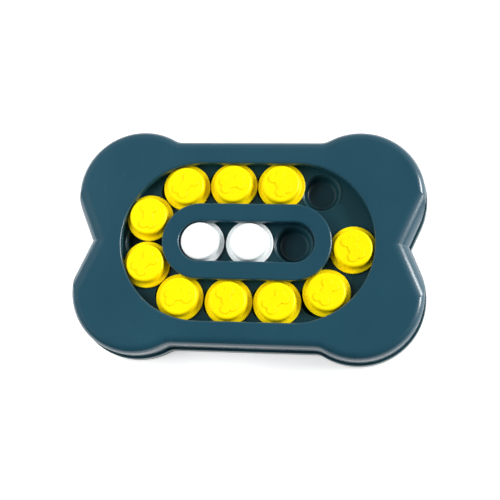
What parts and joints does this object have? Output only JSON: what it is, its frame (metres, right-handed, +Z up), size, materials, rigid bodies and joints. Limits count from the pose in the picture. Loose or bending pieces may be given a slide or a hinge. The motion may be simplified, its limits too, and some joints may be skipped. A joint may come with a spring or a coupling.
{
  "type": "dog puzzle feeder",
  "caption": "Bone-shaped treat puzzle board for dogs: round caps slide in a ring track and a centre slot to cover and uncover food wells in the tray below.",
  "frame": {"origin": "centre of the outline on the rest plane, at the bottom of the rubber feet", "axes": "+X along the length of the bone (to the right in the picture), +Y across it (away from the viewer), +Z up out of the board"},
  "size_m": [0.332, 0.2184, 0.0405],
  "materials": {
    "cover_plastic": "glossy petrol-blue injection-moulded plastic",
    "tray_plastic": "dark petrol-blue injection-moulded plastic",
    "yellow_plastic": "bright yellow moulded plastic with a low relief",
    "white_plastic": "white moulded plastic",
    "foot_rubber": "matt dark rubber",
    "screw_steel": "zinc-plated steel"
  },
  "bodies": {
    "board": {"bottom_tray": "tray_plastic", "well_deck": "tray_plastic", "ring_well_01": "tray_plastic", "ring_well_02": "tray_plastic", "ring_well_03": "tray_plastic", "ring_well_04": "tray_plastic", "ring_well_05": "tray_plastic", "ring_well_06": "tray_plastic", "ring_well_07": "tray_plastic", "ring_well_08": "tray_plastic", "ring_well_09": "tray_plastic", "ring_well_10": "tray_plastic", "centre_well_01": "tray_plastic", "centre_well_02": "tray_plastic", "centre_well_03": "tray_plastic", "top_cover": "cover_plastic", "island_cover": "cover_plastic", "rubber_foot_01": "foot_rubber", "rubber_foot_02": "foot_rubber", "rubber_foot_03": "foot_rubber", "rubber_foot_04": "foot_rubber", "cover_screws": "screw_steel", "island_screws": "screw_steel"},
    "cap_01": {"yellow_slider_01": "yellow_plastic"},
    "cap_02": {"yellow_slider_02": "yellow_plastic"},
    "cap_03": {"yellow_slider_03": "yellow_plastic"},
    "cap_04": {"yellow_slider_04": "yellow_plastic"},
    "cap_05": {"yellow_slider_05": "yellow_plastic"},
    "cap_06": {"yellow_slider_06": "yellow_plastic"},
    "cap_07": {"yellow_slider_07": "yellow_plastic"},
    "cap_08": {"yellow_slider_08": "yellow_plastic"},
    "cap_09": {"yellow_slider_09": "yellow_plastic"},
    "cap_10": {"yellow_slider_10": "yellow_plastic"},
    "centre_cap_01": {"white_slider_01": "white_plastic"},
    "centre_cap_02": {"white_slider_02": "white_plastic"}
  },
  "joints": [
    {"name": "cap_03_slide", "type": "slide", "parent": "board", "child": "cap_03", "axis": [1, 0, 0], "range_m": [0, 0.0134]},
    {"name": "cap_02_slide", "type": "slide", "parent": "board", "child": "cap_02", "axis": [1, 0, 0], "range_m": [0, 0.0134]},
    {"name": "cap_01_swing", "type": "hinge", "parent": "board", "child": "cap_01", "pos_m": [-0.0435, 0, 0.03], "axis": [0, 0, 1], "range_deg": [-13.91, 0]},
    {"name": "cap_04_swing", "type": "hinge", "parent": "board", "child": "cap_04", "pos_m": [-0.0435, 0, 0.03], "axis": [0, 0, 1], "range_deg": [-13.91, 0]},
    {"name": "cap_05_swing", "type": "hinge", "parent": "board", "child": "cap_05", "pos_m": [-0.0435, 0, 0.03], "axis": [0, 0, 1], "range_deg": [-13.91, 0]},
    {"name": "cap_06_swing", "type": "hinge", "parent": "board", "child": "cap_06", "pos_m": [-0.0435, 0, 0.03], "axis": [0, 0, 1], "range_deg": [-13.91, 0]},
    {"name": "cap_07_slide", "type": "slide", "parent": "board", "child": "cap_07", "axis": [-1, 0, 0], "range_m": [0, 0.0134]},
    {"name": "cap_08_slide", "type": "slide", "parent": "board", "child": "cap_08", "axis": [-1, 0, 0], "range_m": [0, 0.0134]},
    {"name": "cap_09_swing", "type": "hinge", "parent": "board", "child": "cap_09", "pos_m": [0.0435, 0, 0.03], "axis": [0, 0, 1], "range_deg": [-13.91, 0]},
    {"name": "cap_10_swing", "type": "hinge", "parent": "board", "child": "cap_10", "pos_m": [0.0435, 0, 0.03], "axis": [0, 0, 1], "range_deg": [0, 46.5]},
    {"name": "centre_cap_02_slide", "type": "slide", "parent": "board", "child": "centre_cap_02", "axis": [1, 0, 0], "range_m": [0, 0.042]},
    {"name": "centre_cap_01_slide", "type": "slide", "parent": "board", "child": "centre_cap_01", "axis": [1, 0, 0], "range_m": [0, 0.042]}
  ],
  "couplings": [
    {"joint": "cap_02_slide", "follows": "cap_03_slide", "ratio": 1},
    {"joint": "cap_01_swing", "follows": "cap_03_slide", "rad_per_m": -18.018},
    {"joint": "cap_04_swing", "follows": "cap_03_slide", "rad_per_m": -18.018},
    {"joint": "cap_05_swing", "follows": "cap_03_slide", "rad_per_m": -18.018},
    {"joint": "cap_06_swing", "follows": "cap_03_slide", "rad_per_m": -18.018},
    {"joint": "cap_07_slide", "follows": "cap_03_slide", "ratio": 1},
    {"joint": "cap_08_slide", "follows": "cap_03_slide", "ratio": 1},
    {"joint": "cap_09_swing", "follows": "cap_03_slide", "rad_per_m": -18.018},
    {"joint": "centre_cap_01_slide", "follows": "centre_cap_02_slide", "ratio": 1}
  ]
}
